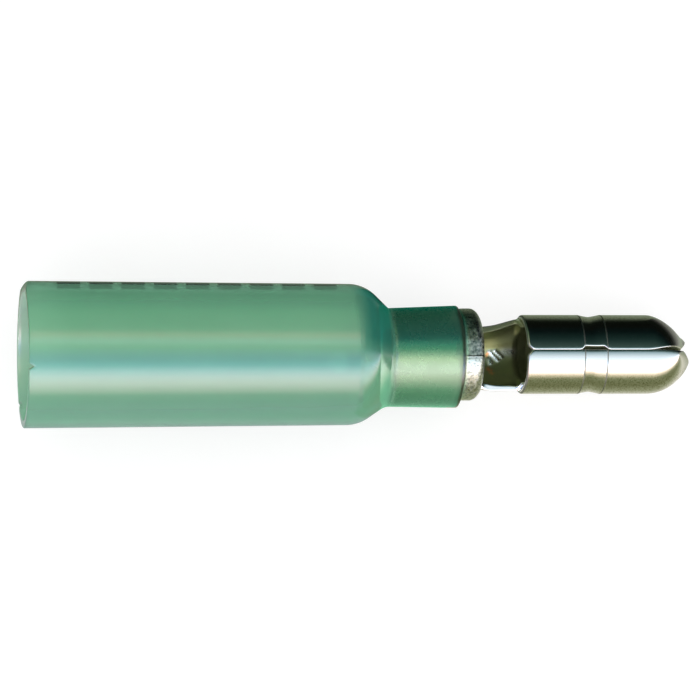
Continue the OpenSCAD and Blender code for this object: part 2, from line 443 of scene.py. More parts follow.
# %% Rows of the inner skin
bore_r = BARREL_R - SHEET_T
bore_end = BEAD_END - SHEET_T
bore_bend = (bore_end - 0.2, bore_r)
bore_step = (bore_end, bore_r - 0.25)
neck_bore = (bore_end + 0.18, NECK_REAR_R - SHEET_T + 0.01)
neck_bore_end = (RIM_AT + 0.1, NECK_FRONT_R - SHEET_T)
rim_bore = (RIM_AT + 0.35, NECK_FRONT_R - SHEET_T + 0.07)
land_bore = (RIM_AT + 0.6, BULLET_R - SHEET_T)
nose_bore_r = NOSE_R - SHEET_T
inner_parts = dict(outer_parts)
inner_parts["bead"] = line((BEAD_START, bore_r), bore_bend, counts["bead"])
inner_parts["front"] = bend(bore_bend, (bore_end, bore_r), bore_step, counts["front"])
inner_parts["foot"] = bend(bore_step, (bore_end, NECK_REAR_R - SHEET_T), neck_bore, counts["foot"])
straight_bore = {"neck": neck_bore, "rim": neck_bore_end, "rim_round": rim_bore, "rear_land": land_bore}
bore_ends = [*straight_bore.values(), (GROOVE_AT - BURR_L, BULLET_R - SHEET_T)][1:]
for (part, start), end in zip(straight_bore.items(), bore_ends):
    inner_parts[part] = line(start, end, counts[part])
for part in ("barrel", "crest_rear", "side_rear", "side_front", "crest_front", "front_land"):
    inner_parts[part] = outer_parts[part] - np.array([0.0, SHEET_T])
inner_parts["nose"] = round_from(nose_centre, nose_bore_r, nose_bore_r, 90, lip_angle, counts["nose"])
inner_parts["lip"] = round_from(lip_centre, lip_r, lip_r, lip_angle - 180, lip_angle - 105, counts["lip"])
inner_rows = np.concatenate(list(inner_parts.values()))
print("strip rows", len(outer_rows), "outside and", len(inner_rows), "inside")

# %% [markdown]
# ## Wrapping the strip round the axis
# Across the strip, a line's place runs from -1 at one long edge over 0 below the axis to 1 at the other edge.
# The barrel's edges meet and are brazed, so its rows wrap all the way. The bullet's edges stand a hair apart,
# pushed back in the groove and at the nose. The neck keeps only the strip's middle, about 80 degrees a side.

# %% Lines across the strip
NECK_HALF = radians(82.5)
NECK_SHARE = NECK_HALF / pi
JOINT_LINE = radians(-10.7)
JOINT_STEPS = np.radians(np.array([-1.2, -0.7, -0.35, 0.0, 0.35, 0.7, 1.2]))
JOINT_CLEAR = radians(0.5)

near_joint = 1 + JOINT_LINE / pi
across = np.concatenate([
    np.linspace(-1, -NECK_SHARE, 36, endpoint=False),
    np.linspace(-NECK_SHARE, NECK_SHARE, 96, endpoint=False),
    np.linspace(NECK_SHARE, 1, 37)])
joint_lines = -near_joint + JOINT_STEPS / pi
clear = np.all(np.abs(across[:, None] - joint_lines[None]) > JOINT_CLEAR / pi, axis=1)
across = np.sort(np.concatenate([across[clear], joint_lines]))
neck_lines = np.abs(across) <= NECK_SHARE + 1e-6
print("lines across the strip", len(across), "of which in the neck", int(neck_lines.sum()))

# %% Seam and tip of the bullet
SEAM_GAP = 0.07
GROOVE_PUSH = 0.2
TIP_PUSH = 0.26
TIP_AT = lip_centre[0] + lip_r
NOTCH_L = 0.54
NOTCH_SPREAD = 0.95
NOTCH_HALF = 0.5
LOBE_PRESS = 0.24
LOBE_EASE = 0.6
LOBE_SHORT = 0.08
SLOT_L = 0.65
SLOT_AT = 0.12
SLOT_SIDES = (0.34, 0.55)
SLOT_REACH = radians(100)


def ramp(value, low, high):
    """0 below low, 1 above high, smooth between."""
    t = np.clip((value - low) / (high - low), 0, 1)
    return t * t * (3 - 2 * t)


def push_back(along):
    """How far the seam's upper edge is pressed back on the outside, in the groove and towards the tip."""
    into_groove = ramp(along, GROOVE_AT - 0.22, GROOVE_AT + 0.02)
    out_of_groove = ramp(along, GROOVE_END - 0.2, GROOVE_END + 0.12)
    tip = ramp(along, NOSE_START - 0.4, NOSE_START + 1.4)
    return GROOVE_PUSH * into_groove * (1 - out_of_groove) + TIP_PUSH * tip


def notch(along):
    """Half width that the seam's edges give up where they part at the tip."""
    return np.clip(NOTCH_SPREAD * (along - TIP_AT + NOTCH_L), 0, NOTCH_HALF)


def pressed_lobe(along, psi):
    """Share of the radius that is left on the nose's upper half, which is pressed in towards the tip."""
    towards_tip = np.clip((along - NOSE_START) / (TIP_AT - 0.4 - NOSE_START), 0, 1)
    eased = 1 - LOBE_EASE * ramp(along, TIP_AT - 0.5, TIP_AT)
    return 1 - LOBE_PRESS * towards_tip ** 1.5 * eased * ramp(psi, radians(25), radians(95))


def held_back(along, radius, psi):
    """How far the tip is set back: the slot goes through to its lower side, and the upper lobe is shorter."""
    beside = radius * np.sin(psi - VIEW_LEAN) - SLOT_AT
    beside = np.where(beside < 0, -beside / SLOT_SIDES[0], beside / SLOT_SIDES[1])
    slot = np.where(np.abs(psi) < SLOT_REACH, SLOT_L * np.clip(1 - beside, 0, 1), 0.0)
    short = LOBE_SHORT * ramp(psi, 0, radians(60))
    return (slot + short) * ramp(along, TIP_AT - 0.9, TIP_AT - 0.05)


print("seam pushed back", round(float(push_back(floor_at)), 3), "in the groove, tip at", round(TIP_AT, 3))

# %% Open neck
NECK_HALVES = np.radians([79, 82])
NECK_FILLETS = np.array([0.5, 0.4])
RIM_FILLET = 0.2
NECK_ASIDE = -0.17
NECK_FLOOR_R = 1.2
NECK_EDGE_R = [1.25, 1.6]
NECK_CURL = radians(35)


def neck_halves(along):
    """Half wraps of the open neck on both hands, widened by fillets at the bead and at the rim."""
    from_bead = np.clip((along - BEAD_END + 0.2) / NECK_FILLETS, 0, 1)
    to_rim = np.clip((RIM_AT + 0.02 - along) / RIM_FILLET, 0, 1)
    rear = 1 - np.sqrt(1 - (1 - from_bead) ** 2)
    front = 1 - np.sqrt(1 - (1 - to_rim) ** 2)
    return NECK_HALVES + NECK_FILLETS / NECK_REAR_R * rear + RIM_FILLET / NECK_FRONT_R * front


def neck_shift(along):
    """How far the neck sits to the side of the axis, as the press left it."""
    rear = ramp(along, BEAD_END - 0.25, BEAD_END + 0.2)
    front = 1 - ramp(along, BEAD_END + 0.6, RIM_AT)
    return NECK_ASIDE * rear * front


def neck_bore_r(along, radius, psi):
    """Radius of the neck's bore: level along its floor, opened out towards its thin-sheared edges."""
    ends = ramp(along, BEAD_END - 0.4, BEAD_END + 0.1) * (1 - ramp(along, RIM_AT - 0.1, RIM_AT + 0.2))
    edge_r = np.interp(along, [BEAD_END, RIM_AT], NECK_EDGE_R)
    pressed_r = NECK_FLOOR_R + (edge_r - NECK_FLOOR_R) * ramp(np.abs(psi), NECK_CURL, NECK_HALF)
    return radius + ends * (pressed_r - radius)


print("neck's half wraps", np.degrees(neck_halves(24.0)).round(1), "degrees")

# %% [markdown]
# ## Tin and flux in the trough
# Brazing the barrel left a few bright streaks of tin and spots of brown flux on the trough's floor. A texture
# could show them flat. The tin stands proud, so each streak is a soft ridge between two places on the floor,
# and the same streaks mark the zones for the finish later. One broad patch of smoother tin has no ridge and
# lies where the trough's highlight falls, so it is partly a painted highlight.

# %% Streaks on the trough's floor
TINNED = [
    ((23.76, 2.0), (23.8, -6.0), 0.11), ((23.76, 22.0), (24.2, -2.0), 0.085),
    ((24.0, 24.0), (24.42, 2.0), 0.05)]
TINNED_H = 0.055
# A flat patch of smoother, brighter tin under the trough's highlight: partly a painted highlight.
TIN_HIGHLIGHT_PATCH = [((24.5, 15.0), (25.0, 13.0), 0.2)]
TIN_HIGHLIGHT_SHARE = 0.45
FLUX = [((23.62, 17.0), (23.66, 12.0), 0.09), ((23.68, -20.0), (23.86, -34.0), 0.1)]


def splashed(streaks, along, psi):
    """Share of short streaks, each from one (along, degrees) place to another with a soft width."""
    here = np.stack([np.full_like(psi, along), psi * NECK_FLOOR_R], -1)
    share = np.zeros_like(psi)
    for start, end, width in streaks:
        a = np.array([start[0], radians(start[1]) * NECK_FLOOR_R])
        run = np.array([end[0], radians(end[1]) * NECK_FLOOR_R]) - a
        t = np.clip((here - a) @ run / (run @ run), 0, 1)
        apart = np.linalg.norm(here - a - t[..., None] * run, axis=-1)
        share = np.maximum(share, np.exp(-(apart / width) ** 2))
    return share


print("streaks", len(TINNED + TIN_HIGHLIGHT_PATCH), "of tin and", len(FLUX), "of flux")

# %% Points of both skins
FLAT_HALF = radians(11)
CRACK_DEPTH = 0.012
CRACK_WIDTH = radians(0.7)
CORNER_L = 0.26
CORNER_REACH = 0.3
CORNER_FADE = 1.2


def brazed_flat(turn):
    """Share of the radius that is left where the barrel's seam is pressed flat, with its fine joint line."""
    flat = np.where(np.abs(turn) < FLAT_HALF, np.cos(FLAT_HALF) / np.cos(turn), 1.0)
    return flat - CRACK_DEPTH * np.exp(-((turn - JOINT_LINE) / CRACK_WIDTH) ** 2)


def wrapped(row, along, radius, pressed):
    """Angles from straight below of one row's lines."""
    edges = np.full(2, pi)
    if row >= RIM_ROW:
        pull = np.array([0.0, pressed * push_back(along)]) + notch(along) + SEAM_GAP / 2
        edges = pi - np.arcsin(np.minimum(pull / radius, 1.0))
    hand = np.where(across < 0, 0, 1)
    half = np.minimum(neck_halves(along), edges - 0.2)[hand]
    size = np.abs(across)
    beyond = half + (edges[hand] - half) * (size - NECK_SHARE) / (1 - NECK_SHARE)
    return np.where(across < 0, -1, 1) * np.where(size <= NECK_SHARE, half * size / NECK_SHARE, beyond)


def skin_points(rows_of_skin, pressed):
    """Points of a skin, row by row. The outer skin is the pressed one."""
    points = np.empty((len(rows_of_skin), len(across), 3))
    for row, (along, radius) in enumerate(rows_of_skin):
        psi = wrapped(row, along, radius, pressed)
        turn = pi - psi
        turn = np.where(turn > pi, turn - 2 * pi, turn)
        stations = np.full_like(turn, along)
        radii = np.full_like(turn, radius)
        if BEAD_ROW <= row < FOOT_ROW and pressed:
            radii = radii * brazed_flat(turn)
        if FOOT_ROW <= row < RIM_ROW and not pressed:
            radii = neck_bore_r(along, radius, psi) - TINNED_H * splashed(TINNED, along, psi)
        if row >= RIM_ROW:
            from_edge = (pi - np.abs(psi)) * radius
            corner = CORNER_L * np.clip(1 - from_edge / CORNER_REACH, 0, 1) ** 1.5
            stations = stations + corner * np.clip(1 - (along - RIM_AT) / CORNER_FADE, 0, 1)
            radii = radii * pressed_lobe(along, psi)
            stations = stations - held_back(along, radius, psi)
        points[row] = place(stations, radii, turn) + MM * neck_shift(along) * SIDE
    return points


outer_skin = skin_points(outer_rows, 1.0)
inner_skin = skin_points(inner_rows, 0.0)
print("points on each skin", outer_skin.shape[:2])

# %% [markdown]
# ## Faces, and edges that are not knife-sharp
# The grid is kept only where there is metal: all of the barrel, the middle of the neck, all of the bullet.
# Wherever kept cells end, a strip closes the sheet's thickness. A bevel modifier could round these edges, but
# it trips over the many short edges here, so the strip itself swells out a little and starts off tangent.

# %% Grid cells with metal in them
FRONT_EDGE_STEP = 12
count_rows, count_lines = outer_skin.shape[:2]
front_edge_row = first_row["front"] + FRONT_EDGE_STEP
cells = np.zeros((count_rows - 1, count_lines - 1), bool)
cells[:front_edge_row] = True
cells[RIM_ROW:] = True
in_neck = neck_lines[:-1] & neck_lines[1:]
cells[front_edge_row:RIM_ROW, in_neck] = True

skin_size = count_rows * count_lines
outer_id = np.arange(skin_size).reshape(count_rows, count_lines)
outer_id[:front_edge_row + 1, -1] = outer_id[:front_edge_row + 1, 0]
inner_id = outer_id + skin_size
terminal_faces = []
for i, j in np.argwhere(cells):
    for ids in (outer_id, inner_id):
        terminal_faces.append((ids[i, j], ids[i, j + 1], ids[i + 1, j + 1], ids[i + 1, j]))
print("cells with metal", int(cells.sum()))


# %% Find the sheet's edges
def border_edges():
    """Grid edges with metal on one side only, each with the cell that has the metal."""
    padded = np.pad(cells, 1)
    for i, j in np.argwhere(padded[:-1, 1:-1] != padded[1:, 1:-1]):
        yield (i, j), (i, j + 1), (i - 1, j) if padded[i, j + 1] else (i, j)
    for i, j in np.argwhere(padded[1:-1, :-1] != padded[1:-1, 1:]):
        if i >= front_edge_row or 0 < j < count_lines - 1:
            yield (i, j), (i + 1, j), (i, j - 1) if padded[i + 1, j] else (i, j)


def unit(vector):
    """The vector at length one."""
    return vector / max(np.linalg.norm(vector), 1e-12)


mid_skin = (outer_skin + inner_skin) / 2
borders = list(border_edges())
away = {}
for start, end, (i, j) in borders:
    middle = mid_skin[i:i + 2, j:j + 2].mean(axis=(0, 1))
    run = unit(mid_skin[end] - mid_skin[start])
    outward = (mid_skin[start] + mid_skin[end]) / 2 - middle
    outward = unit(outward - np.dot(outward, run) * run)
    for spot in (start, end):
        key = int(outer_id[spot])
        away[key] = away.get(key, np.zeros(3)) + outward
print("edges of the sheet", len(borders))

# %% Close the sheet's edges with rounded strips
EDGE_SWELL = 0.045
STEPS = np.array([0.02, 0.05, 0.1, 0.3, 0.5, 0.7, 0.9, 0.95, 0.98])
flat_points = np.concatenate([outer_skin.reshape(-1, 3), inner_skin.reshape(-1, 3)])
strip_of = {}
strip_points = []
for key, direction in away.items():
    top, bottom = flat_points[key], flat_points[key + skin_size]
    depth = np.minimum(STEPS, 1 - STEPS) * np.linalg.norm(bottom - top) / MM
    swell = EDGE_SWELL * np.sqrt(1 - np.clip(1 - depth / EDGE_SWELL, 0, 1) ** 2)
    strip_of[key] = len(flat_points) + len(strip_points) + np.arange(len(STEPS))
    strip_points.extend(top + STEPS[:, None] * (bottom - top) + MM * swell[:, None] * unit(direction))
for start, end, _ in borders:
    key_a, key_b = int(outer_id[start]), int(outer_id[end])
    chain_a = [key_a, *strip_of[key_a], key_a + skin_size]
    chain_b = [key_b, *strip_of[key_b], key_b + skin_size]
    for k in range(len(chain_a) - 1):
        terminal_faces.append((chain_a[k], chain_b[k], chain_b[k + 1], chain_a[k + 1]))
terminal_points = np.concatenate([flat_points, np.array(strip_points)])
terminal_points[:, 0] = np.minimum(terminal_points[:, 0], cad_box[1][0])
terminal, kept_points = make_piece("rolled_terminal", terminal_points, terminal_faces)
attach(terminal, "root")
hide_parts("terminal")

# %% [markdown]
# ## Zones that the press and the bath left different
# The plating is pitted on the bullet's flanks, dull on burrs and rims, creamy on the tumbled bead and olive
# inside, and cut faces are darker than rolled ones. The bead's rear rows, where it meets the film's edge, are
# darkened with the burrs as painted shade. As on the sleeve, each zone is one number per point. Edge strips
# come after the skins in the list of points, so a zone has values for outside, inside and strips.

# %% Mark the plug's zones
FLANK_FROM, FLANK_TO = radians(34), radians(48)
BEAD_REAR_ROWS = 4
RIM_ROWS = 4
JOINT_HALF = radians(0.9)

row_of, line_of = np.indices((count_rows, count_lines)).reshape(2, -1)
bead_rear = BEAD_ROW + BEAD_REAR_ROWS
on_bead = (row_of >= bead_rear) & (row_of < FOOT_ROW)
on_joint = on_bead & (np.abs(across[line_of] + near_joint) < JOINT_HALF / pi)
from_seam = pi * (1 - np.abs(across[line_of]))
on_flank = ramp(from_seam, FLANK_FROM, FLANK_TO) * (row_of >= RIM_ROW)
crest_rows = [first_row[part] + np.arange(1, counts[part]) for part in ("crest_rear", "crest_front", "rim")]
on_burr = np.isin(row_of, np.concatenate(crest_rows)) | (np.abs(row_of - RIM_ROW) < RIM_ROWS)
# The bead's rear rows at the film's edge get painted shade, in the same dark grey as the burrs.
on_burr = on_burr | (row_of >= BEAD_ROW) & (row_of < bead_rear)
tin_and_highlight, fluxed = np.zeros((2, count_rows, count_lines))
for row in range(FOOT_ROW, RIM_ROW):
    along, radius = inner_rows[row]
    psi = wrapped(row, along, radius, 0.0)
    # Streaks of tin, and the patch that is partly a painted highlight.
    tin_and_highlight[row] = np.maximum(splashed(TINNED, along, psi), TIN_HIGHLIGHT_SHARE * splashed(TIN_HIGHLIGHT_PATCH, along, psi))
    fluxed[row] = splashed(FLUX, along, psi)

cut_face = []
for key in away:
    row, across_at = row_of[key], across[line_of[key]]
    bright_edge = row == 0 or (front_edge_row < row < RIM_ROW and across_at < 0)
    cut_face.append(np.zeros_like(STEPS) if bright_edge else np.clip(STEPS * 4, 0.1, 0.9))
cut_face = np.concatenate(cut_face)
plain = np.zeros(skin_size)
uncut = np.zeros(len(cut_face))
zones = {
    "inside": (plain, 1 - tin_and_highlight.ravel(), cut_face),
    "cut": (plain, plain, cut_face),
    "bead": (on_bead, plain, uncut),
    "barrel": (row_of < BEAD_ROW, plain, uncut),
    "flank": (on_flank, plain, uncut),
    "burr": (on_burr, plain, uncut),
    "braze": (plain, fluxed.ravel(), uncut),
    "joint": (on_joint, plain, uncut),
}
for zone, values in zones.items():
    mark(terminal, zone, np.concatenate(values)[kept_points])
print("zones", list(zones))


# %% [markdown]
# ## A small kit for materials
# Each finish is one shader with procedural noise and the marked zones behind it. Wired node by node in the
# editor that fills a screen. A small class adds the few nodes that are needed, so a recipe reads as layers.

# %% Helpers for shader nodes
class Recipe:
    """The node tree of a material or the world, with short ways to add nodes."""

    def __init__(self, owner, shader="Principled BSDF"):
        owner.use_nodes = True
        self.nodes = owner.node_tree.nodes
        self.links = owner.node_tree.links
        self.shader = self.nodes[shader]

    def fill(self, node, values):
        """Links outputs to a node's inputs, or sets numbers and RGB colours on them."""
        for name, value in values.items():
            if isinstance(value, bpy.types.NodeSocket):
                self.links.new(value, node.inputs[name])
            else:
                node.inputs[name].default_value = (*value, 1) if isinstance(value, tuple) else value

    def node(self, kind, inputs, **settings):
        """The outputs of a new node, with its settings made and its inputs filled."""
        node = self.nodes.new("ShaderNode" + kind)
        for name, value in settings.items():
            setattr(node, name, value)
        self.fill(node, inputs)
        return node.outputs

    def reckon(self, operation, *values):
        """One step of arithmetic with outputs and plain numbers."""
        return self.node("Math", dict(enumerate(values)), operation=operation)[0]

    def spread(self, value, low, high, first, last):
        """Maps a value between low and high onto the range from first to last."""
        limits = {"From Min": low, "From Max": high, "To Min": first, "To Max": last}
        return self.node("MapRange", {**limits, "Value": value})["Result"]

    def mix(self, share, below, above):
        """A colour laid over another by a share."""
        return self.node("Mix", {"Factor": share, "A": below, "B": above}, data_type="RGBA")["Result"]

    def zone(self, name):
        """The share of a marked zone at each point of the surface."""
        return self.node("Attribute", {}, attribute_name=name)["Fac"]

    def noise(self, scale, detail=4.0):
        """Noise in the piece's own coordinates, with the scale in waves per millimetre."""
        where = self.node("TexCoord", {})["Object"]
        scaled = self.node("Mapping", {"Vector": where, "Scale": [scale / MM] * 3})["Vector"]
        return self.node("TexNoise", {"Vector": scaled, "Scale": 1.0, "Detail": detail})["Fac"]


print("kit", [name for name in vars(Recipe) if not name.startswith("_")])

# %% [markdown]
# ## The sleeve's finish
# The sleeve is clear green plastic with a faint haze, so light comes through both walls and its surface still
# shines. Full glass would look too clean. A part-transmitting shader, a little rough, gives the milky green.
# The film is darkened on the shoulder as painted shade and lightened inside the mouth as a painted highlight,
# clearer where it hugs the barrel, and the dashes are solid ink.

# %% Translucent green plastic
THIN_FILM = [(0.29, 0.675, 0.45), (0.32, 0.705, 0.48)]
# Darker green for the painted shade on the shoulder.
SHOULDER_SHADE_FILM = (0.06, 0.37, 0.275)
# Near white for the painted highlight inside the mouth.
MOUTH_HIGHLIGHT_FILM = (1.0, 1.0, 0.92)
INK = (0.01, 0.07, 0.055)
HUGGING_FILM = (0.18, 0.27, 0.20)
DASH_FROM, DASH_TO = 1.3, 15.7
DASH_PITCH, DASH_L = 1.6, 1.15
GLOSS = {"Roughness": 0.09, "IOR": 1.45, "Coat Weight": 1.0, "Coat IOR": 1.8, "Coat Roughness": 0.1}

plastic = bpy.data.materials.new("translucent_green")
film = Recipe(plastic)
along_tube = film.zone("along")
dash = film.reckon("LESS_THAN", film.reckon("MODULO", along_tube, DASH_PITCH), DASH_L)
print_row = film.zone("print_row")
for test, value, limit in (
        ("GREATER_THAN", along_tube, DASH_FROM), ("LESS_THAN", along_tube, DASH_TO),
        ("GREATER_THAN", print_row, 0.5)):
    dash = film.reckon("MULTIPLY", dash, film.reckon(test, value, limit))
haze = film.spread(film.noise(0.25, 2.0), 0.3, 0.7, 0.0, 1.0)
colour = film.mix(haze, *THIN_FILM)
# Painted shade on the shoulder's creased side, away from the lamp.
colour = film.mix(film.zone("thick"), colour, SHOULDER_SHADE_FILM)
# Painted highlight inside the mouth.
colour = film.mix(film.zone("pale"), colour, MOUTH_HIGHLIGHT_FILM)
colour = film.mix(dash, colour, INK)
colour = film.mix(film.zone("shrunk"), colour, HUGGING_FILM)
clearer = film.spread(film.zone("shrunk"), 0.0, 1.0, 0.6, 0.9)
ink_free = film.spread(dash, 0.0, 1.0, 1.0, 0.0)
see_through = film.reckon("MULTIPLY", clearer, ink_free)
film.fill(film.shader, {"Base Color": colour, "Transmission Weight": see_through, **GLOSS})
sleeve.data.materials.append(plastic)
print("finish", plastic.name)

# %% [markdown]
# ## The plug's finish
# Tin plate is bright where it was rolled smooth, and its flanks carry fine pits and an olive tarnish. One
# material per zone would leave hard borders, so the zones are layers of colour and dullness on one plate.

# %% Plated sheet
TIN, PIT = (0.86, 0.84, 0.77), (0.50, 0.48, 0.33)
# Dark grey of dull burrs, also used as painted shade on the bead's rear rows at the film's edge.
BURR_AND_EDGE_SHADE = (0.30, 0.30, 0.24)
CREAM, FLECK = (0.74, 0.75, 0.64), (0.42, 0.45, 0.38)
OLIVE = (0.28, 0.31, 0.14)
COPPER = (0.75, 0.32, 0.11)
DIRT = (0.06, 0.07, 0.05)
TARNISHED = 0.84

tin_plate = bpy.data.materials.new("tin_plate")
plate = Recipe(tin_plate)
pits = plate.spread(plate.noise(15.0, 2.0), 0.46, 0.66, 0.0, 0.9)
flecks = plate.spread(plate.noise(9.0, 2.0), 0.48, 0.62, 0.0, 1.0)
spots = plate.spread(plate.noise(6.0, 2.0), 0.38, 0.55, 0.2, 1.0)
colour_layers = [
    ("flank", pits, PIT), ("burr", 1.0, BURR_AND_EDGE_SHADE), ("bead", 1.0, CREAM), ("bead", flecks, FLECK),
    ("inside", 1.0, OLIVE), ("braze", spots, COPPER), ("joint", 1.0, DIRT)]
colour = TIN
for zone, share, tint in colour_layers:
    colour = plate.mix(plate.reckon("MULTIPLY", plate.zone(zone), share), colour, tint)

grit = plate.spread(plate.noise(7.0, 1.0), 0.45, 0.65, 0.144, 0.384)
patches = plate.spread(plate.noise(1.4, 2.0), 0.35, 0.65, 0.06, 0.2)
dull_layers = [("bead", grit), ("barrel", patches), ("burr", 0.4), ("inside", 0.2), ("cut", 0.2)]
roughness = plate.spread(plate.noise(5.0), 0.3, 0.7, 0.12, 0.18)
for zone, amount in dull_layers:
    roughness = plate.reckon("MULTIPLY_ADD", plate.zone(zone), amount, roughness)
tarnish = plate.spread(plate.zone("inside"), 0, 1, 1.0, TARNISHED)
plate.fill(plate.shader, {"Base Color": colour, "Roughness": roughness, "Metallic": tarnish})
terminal.data.materials.append(tin_plate)
print("finish", tin_plate.name)

# %% [markdown]
# ## The stage
# The background is a sheet of paper in an evenly lit white room. Strong lamps could burn the paper out to
# white, but they would wash out the connector too. Instead a glow that is seen only by the camera and in
# reflections lifts the paper to white, and the connector's shadow still falls on it.

# %% White floor
FLOOR_HALF = 0.6
PAPER_GREYS = [(0.38, 0.38, 0.38), (0.4, 0.4, 0.4)]
PAPER_GLOW = 0.68


def seen_directly(recipe):
    """1 for camera, mirror and see-through rays, 0 for the rays that carry light onto surfaces."""
    path = recipe.node("LightPath", {})
    seen = recipe.reckon("MAXIMUM", path["Is Camera Ray"], path["Is Glossy Ray"])
    return recipe.reckon("MAXIMUM", seen, path["Is Transmission Ray"])


paper = bpy.data.materials.new("white_paper")
pulp = Recipe(paper)
grain = pulp.spread(pulp.noise(0.2), 0.3, 0.7, 0.0, 1.0)
glow = pulp.spread(seen_directly(pulp), 0, 1, 0.0, PAPER_GLOW)
pulp.fill(pulp.shader, {
    "Base Color": pulp.mix(grain, *PAPER_GREYS), "Roughness": 0.9, "Emission Color": (1, 1, 1),
    "Emission Strength": glow})

corners = [(-1, -1), (1, -1), (1, 1), (-1, 1)]
floor_mesh = bpy.data.meshes.new("floor")
floor_mesh.from_pydata([(x * FLOOR_HALF, y * FLOOR_HALF, 0) for x, y in corners], [], [(0, 1, 2, 3)])
floor = add("floor", floor_mesh)
floor.data.materials.append(paper)
print("floor", 2 * FLOOR_HALF, "m wide")

# %% White room
ROOM_LIGHT = 0.93
world = bpy.data.worlds.new("white_room")
bpy.context.scene.world = world
room = Recipe(world, "Background")
strength = room.spread(seen_directly(room), 0, 1, ROOM_LIGHT, 1.0)
room.fill(room.shader, {"Color": (1, 1, 1), "Strength": strength})
print("room light", ROOM_LIGHT)

# %% [markdown]
# ## A soft lamp
# The room alone would light the connector evenly, with hardly a shadow. One wide lamp from the side below the
# seam, as a window would be, gives the shadow its side. It is kept out of reflections, which are made below.

# %% Soft lamp
LAMP_DISTANCE = 0.25
LAMP_RADIANCE = 0.32
LAMP_LENGTH = 0.5
LAMP_FROM, LAMP_TO = radians(-60), radians(-8)

lamp_turn = (LAMP_FROM + LAMP_TO) / 2 - VIEW_LEAN
facing = Vector(cos(lamp_turn) * UP + sin(lamp_turn) * SIDE)
lamp = bpy.data.lights.new("soft_lamp", "AREA")
lamp.shape = "RECTANGLE"
lamp.size = LAMP_LENGTH
lamp.size_y = 2 * LAMP_DISTANCE * tan((LAMP_TO - LAMP_FROM) / 2)
lamp.energy = LAMP_RADIANCE * pi * lamp.size * lamp.size_y
soft_lamp = add("soft_lamp", lamp)
soft_lamp.matrix_world = aimed(Vector(AXIS), facing, LAMP_DISTANCE)
soft_lamp.visible_glossy = soft_lamp.visible_transmission = False
print("lamp", round(lamp.energy, 3), "W")

# %% [markdown]
# ## A tent for the metal to mirror
# Polished metal has hardly a colour of its own and shows what stands round it. In a studio that is a tent: a
# bright panel on the side below the seam, dark card on the other, and a crisp line between them. Real panels
# would light the paper too, so these are glowing cards that only mirrored and see-through rays meet.
# A card is made of strips along the axis, and its tones run smoothly from row to row.

# %% Cards that only reflections see
TENT_LIFT = 0.2 * MM
felt = bpy.data.materials.new("studio_card")
card_glow = Recipe(felt)
tone = card_glow.node("Attribute", {}, attribute_name="tone")["Color"]
card_glow.fill(card_glow.shader, {
    "Base Color": (0, 0, 0), "Specular IOR Level": 0.0, "Emission Color": tone, "Emission Strength": 1.0})


def make_card(name, points, tones, to_metal=True, to_plastic=False):
    """A card of strips along the axis, from rows of two points each, that glows in the rows' tones."""
    mesh = bpy.data.meshes.new(name)
    faces = [(2 * k, 2 * k + 1, 2 * k + 3, 2 * k + 2) for k in range(len(points) - 1)]
    mesh.from_pydata(np.asarray(points).reshape(-1, 3).tolist(), [], faces)
    layer = mesh.attributes.new("tone", "FLOAT_COLOR", "POINT")
    colours = np.concatenate([np.repeat(tones, 2, axis=0), np.ones((2 * len(tones), 1))], 1)
    layer.data.foreach_set("color", colours.astype(np.float32).ravel())
    card = add(name, mesh)
    card.visible_camera = card.visible_shadow = card.visible_diffuse = False
    card.visible_glossy = to_metal
    card.visible_transmission = to_plastic
    card.data.materials.append(felt)
    print("card", name, "of", len(faces), "strips, brightest", round(float(np.max(tones)), 2))


def nearer(angle, share):
    """Where a mirrored ray meets a card, for a surface at that share of the card's radius."""
    return angle - degrees(asin(share * sin(radians(angle / 2))))


def standing_rows(bands, radius, ends, count, share=0.0):
    """Points and tones of a card curved round the axis and standing on the floor, by mirrored angles."""
    angles = [nearer(angle, share) for angle, *_ in bands]
    fine = np.linspace(angles[0], angles[-1], count)
    tones = np.stack([np.interp(fine, angles, channel) for channel in list(zip(*bands))[1:]], 1)
    points = place(np.array([ends]), np.array(radius), (np.radians(fine) - VIEW_LEAN)[:, None])
    points[..., 2] = np.maximum(points[..., 2], TENT_LIFT)
    points[[0, -1], :, 2] = TENT_LIFT
    return points, tones


def level_rows(bands, ends, lift=TENT_LIFT):
    """Points and tones of a card that lies level, by bands of places to the side of the axis."""
    bands = np.array(bands)
    points = np.array([[MOUTH + AXIS * end * MM for end in ends]] * len(bands))
    points[:, :, 1] = bands[:, :1] * MM
    points[:, :, 2] = lift
    return points, bands[:, 1:]


print("card finish", felt.name)

# %% Cloth round the plug, closed at its front end
TENT_R = 60.0
TENT_HALF_L = 220.0
PLUG_TONES = [
    (-95, 0.19, 0.22, 0.115), (-80, 0.27, 0.29, 0.165), (-69, 0.53, 0.51, 0.35),
    (-62, 0.80, 0.72, 0.52), (-57, 1.4, 1.2, 1.0), (-51, 2.2, 1.9, 1.9), (-44, 2.6, 2.35, 2.5),
    (-36, 2.5, 2.5, 2.9), (-27, 2.0, 2.25, 2.9), (-19, 1.2, 1.6, 2.1), (-12, 0.95, 1.1, 1.3),
    (-4, 0.80, 0.95, 1.08), (4, 0.38, 0.55, 0.66), (12, 0.06, 0.12, 0.115), (25, 0.035, 0.065, 0.06),
    (38, 0.015, 0.036, 0.034), (49, 0.007, 0.021, 0.019), (69, 0.002, 0.006, 0.006),
    (95, 0.003, 0.004, 0.003)]
rear, front = AIM_ALONG - TENT_HALF_L, AIM_ALONG + TENT_HALF_L
plug_points, plug_tones = standing_rows(PLUG_TONES, TENT_R, (rear, front), 200)
foot = plug_points[:, 1].copy()
foot[:, 1:] = (0.0, TENT_LIFT)
make_card("plug_cloth", plug_points, plug_tones, to_plastic=True)
